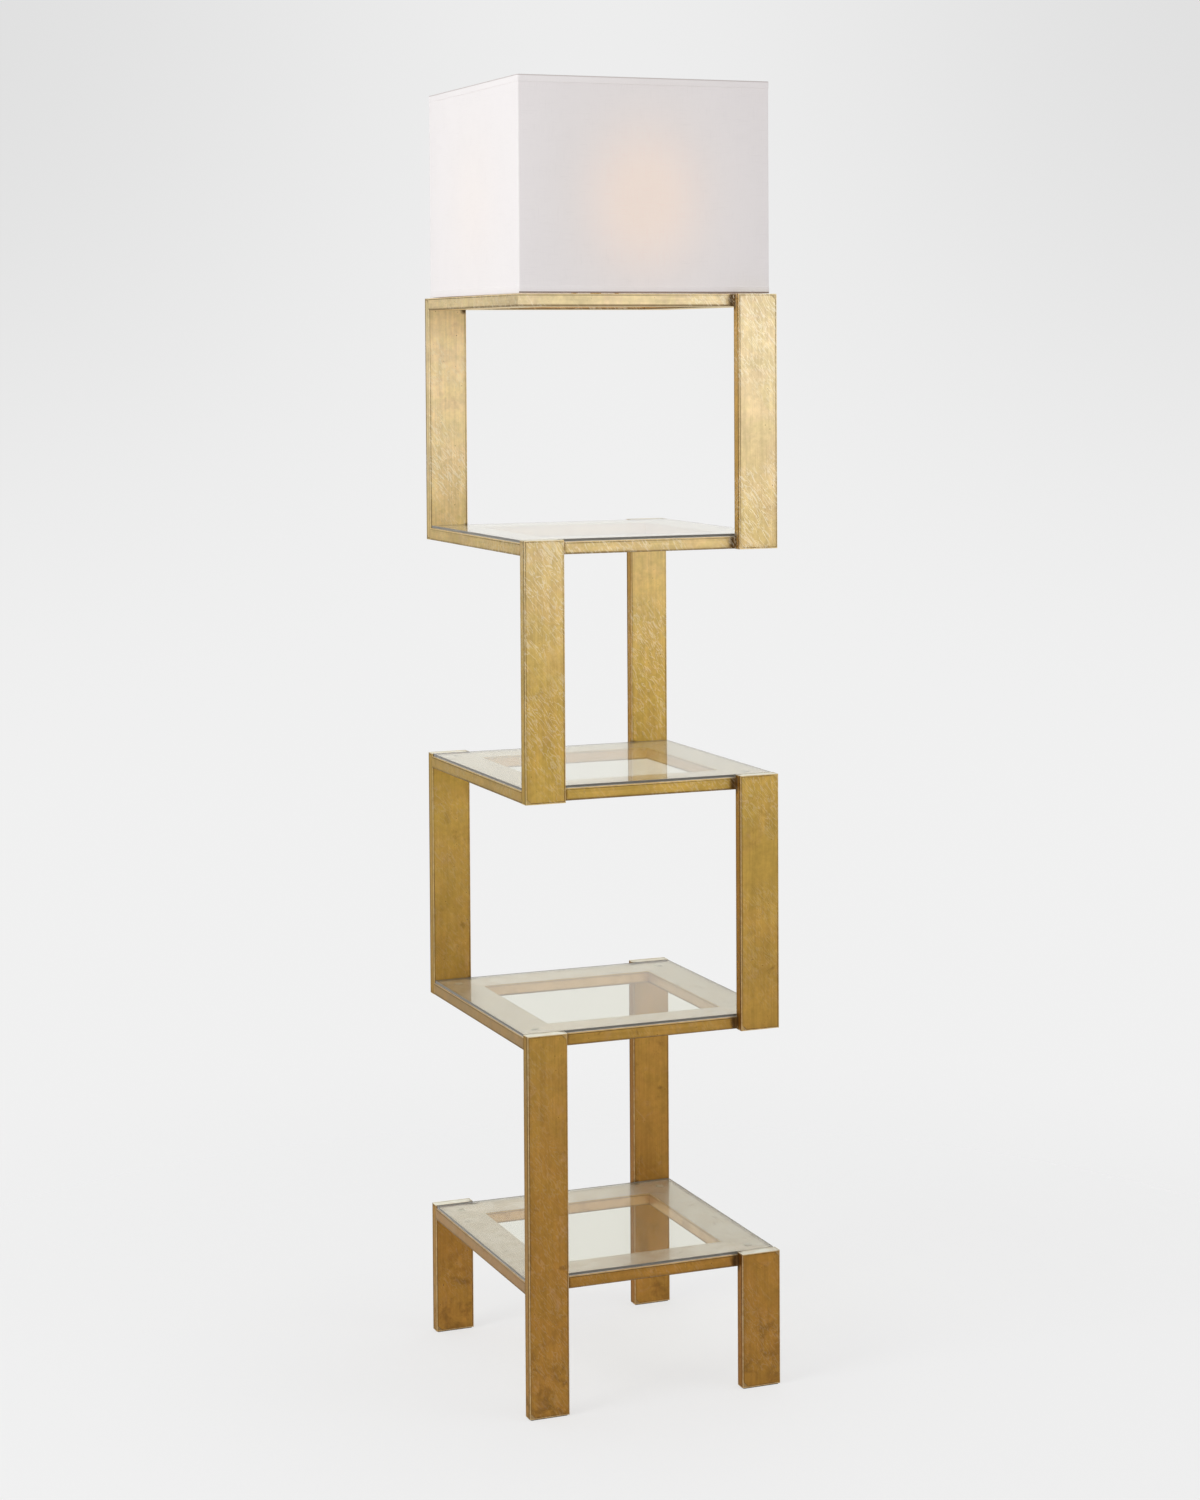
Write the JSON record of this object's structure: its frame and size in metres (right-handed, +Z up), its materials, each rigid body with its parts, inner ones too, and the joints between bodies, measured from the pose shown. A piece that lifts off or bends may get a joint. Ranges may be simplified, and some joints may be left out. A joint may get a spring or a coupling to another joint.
{
  "type": "shelf floor lamp",
  "caption": "Shelf floor lamp: stacked square metal frames with glass shelves on posts that change diagonal from bay to bay, under a square hard-backed shade on a harp.",
  "frame": {"origin": "on the floor under the lamp's axis, in the middle of the four feet", "axes": "+Z up, the front face towards -Y, +X to the right seen from the front"},
  "size_m": [0.33, 0.36, 1.6071],
  "materials": {
    "gold_leaf_steel": "antiqued gold leaf, satin",
    "shelf_glass": "clear, ground edge",
    "black_rubber": "matte",
    "clear_vinyl": "clear, soft",
    "zinc_steel": "zinc plated",
    "black_plastic": "moulded",
    "brass": "plated, satin",
    "insulating_card": "waxed",
    "aluminium": "drawn",
    "frosted_glass": "frosted inside",
    "shade_linen": "off-white linen on a hard backing",
    "white_wire": "white powder coat"
  },
  "bodies": {
    "stand": {"centre_contact": "brass", "cord_bush": "black_plastic", "foot_pads": "black_rubber", "fourth_frame_back_rail": "gold_leaf_steel", "fourth_frame_front_rail": "gold_leaf_steel", "fourth_frame_left_rail": "gold_leaf_steel", "fourth_frame_right_rail": "gold_leaf_steel", "harp_saddle": "brass", "holder_crossbar": "gold_leaf_steel", "long_leg_back_right": "gold_leaf_steel", "long_leg_front_left": "gold_leaf_steel", "lowest_frame_back_rail": "gold_leaf_steel", "lowest_frame_front_rail": "gold_leaf_steel", "lowest_frame_left_rail": "gold_leaf_steel", "lowest_frame_right_rail": "gold_leaf_steel", "nipple_locknut": "zinc_steel", "post_end_caps": "gold_leaf_steel", "second_bay_post_back_left": "gold_leaf_steel", "second_bay_post_front_right": "gold_leaf_steel", "second_frame_back_rail": "gold_leaf_steel", "second_frame_front_rail": "gold_leaf_steel", "second_frame_left_rail": "gold_leaf_steel", "second_frame_right_rail": "gold_leaf_steel", "shelf_bumpers": "clear_vinyl", "short_leg_back_left": "gold_leaf_steel", "short_leg_front_right": "gold_leaf_steel", "socket_cap": "brass", "socket_core": "black_plastic", "socket_liner": "insulating_card", "socket_shell": "brass", "third_bay_post_back_right": "gold_leaf_steel", "third_bay_post_front_left": "gold_leaf_steel", "third_frame_back_rail": "gold_leaf_steel", "third_frame_front_rail": "gold_leaf_steel", "third_frame_left_rail": "gold_leaf_steel", "third_frame_right_rail": "gold_leaf_steel", "thread_shell": "aluminium", "threaded_nipple": "zinc_steel", "top_bay_post_back_left": "gold_leaf_steel", "top_bay_post_front_right": "gold_leaf_steel", "top_frame_back_rail": "gold_leaf_steel", "top_frame_front_rail": "gold_leaf_steel", "top_frame_left_rail": "gold_leaf_steel", "top_frame_right_rail": "gold_leaf_steel", "weld_beads": "gold_leaf_steel"},
    "lowest_glass": {"lowest_glass_shelf": "shelf_glass"},
    "second_glass": {"second_glass_shelf": "shelf_glass"},
    "third_glass": {"third_glass_shelf": "shelf_glass"},
    "fourth_glass": {"fourth_glass_shelf": "shelf_glass"},
    "harp": {"harp_bow": "brass"},
    "ferrules": {"harp_ferrules": "brass"},
    "shade": {"shade_panels": "shade_linen", "shade_bottom_ring": "white_wire", "shade_spider_frame": "white_wire", "harp_stud": "brass"},
    "finial": {"finial": "brass"},
    "bulb": {"bulb_globe": "frosted_glass", "bulb_base": "aluminium"},
    "switch": {"switch_knob": "black_plastic"}
  },
  "joints": [
    {"name": "lowest_glass_lift", "type": "slide", "parent": "stand", "child": "lowest_glass", "axis": [0, 0, 1], "range_m": [0, 0.06]},
    {"name": "second_glass_lift", "type": "slide", "parent": "stand", "child": "second_glass", "axis": [0, 0, 1], "range_m": [0, 0.06]},
    {"name": "third_glass_lift", "type": "slide", "parent": "stand", "child": "third_glass", "axis": [0, 0, 1], "range_m": [0, 0.06]},
    {"name": "fourth_glass_lift", "type": "slide", "parent": "stand", "child": "fourth_glass", "axis": [0, 0, 1], "range_m": [0, 0.06]},
    {"name": "harp_lift", "type": "slide", "parent": "stand", "child": "harp", "axis": [0, 0, 1], "range_m": [0, 0.03]},
    {"name": "ferrule_slide", "type": "slide", "parent": "harp", "child": "ferrules", "axis": [0, 0, 1], "range_m": [0, 0.014]},
    {"name": "shade_swivel", "type": "hinge", "parent": "harp", "child": "shade", "pos_m": [0, 0, 1.5778], "axis": [0, 0, 1], "continuous": true},
    {"name": "finial_turn", "type": "hinge", "parent": "shade", "child": "finial", "pos_m": [0, 0, 1.582], "axis": [0, 0, 1], "continuous": true},
    {"name": "bulb_turn", "type": "hinge", "parent": "stand", "child": "bulb", "pos_m": [0, 0, 1.3605], "axis": [0, 0, 1], "continuous": true},
    {"name": "switch_turn", "type": "hinge", "parent": "stand", "child": "switch", "pos_m": [0, -0.0165, 1.3715], "axis": [0, -1, 0], "continuous": true}
  ]
}
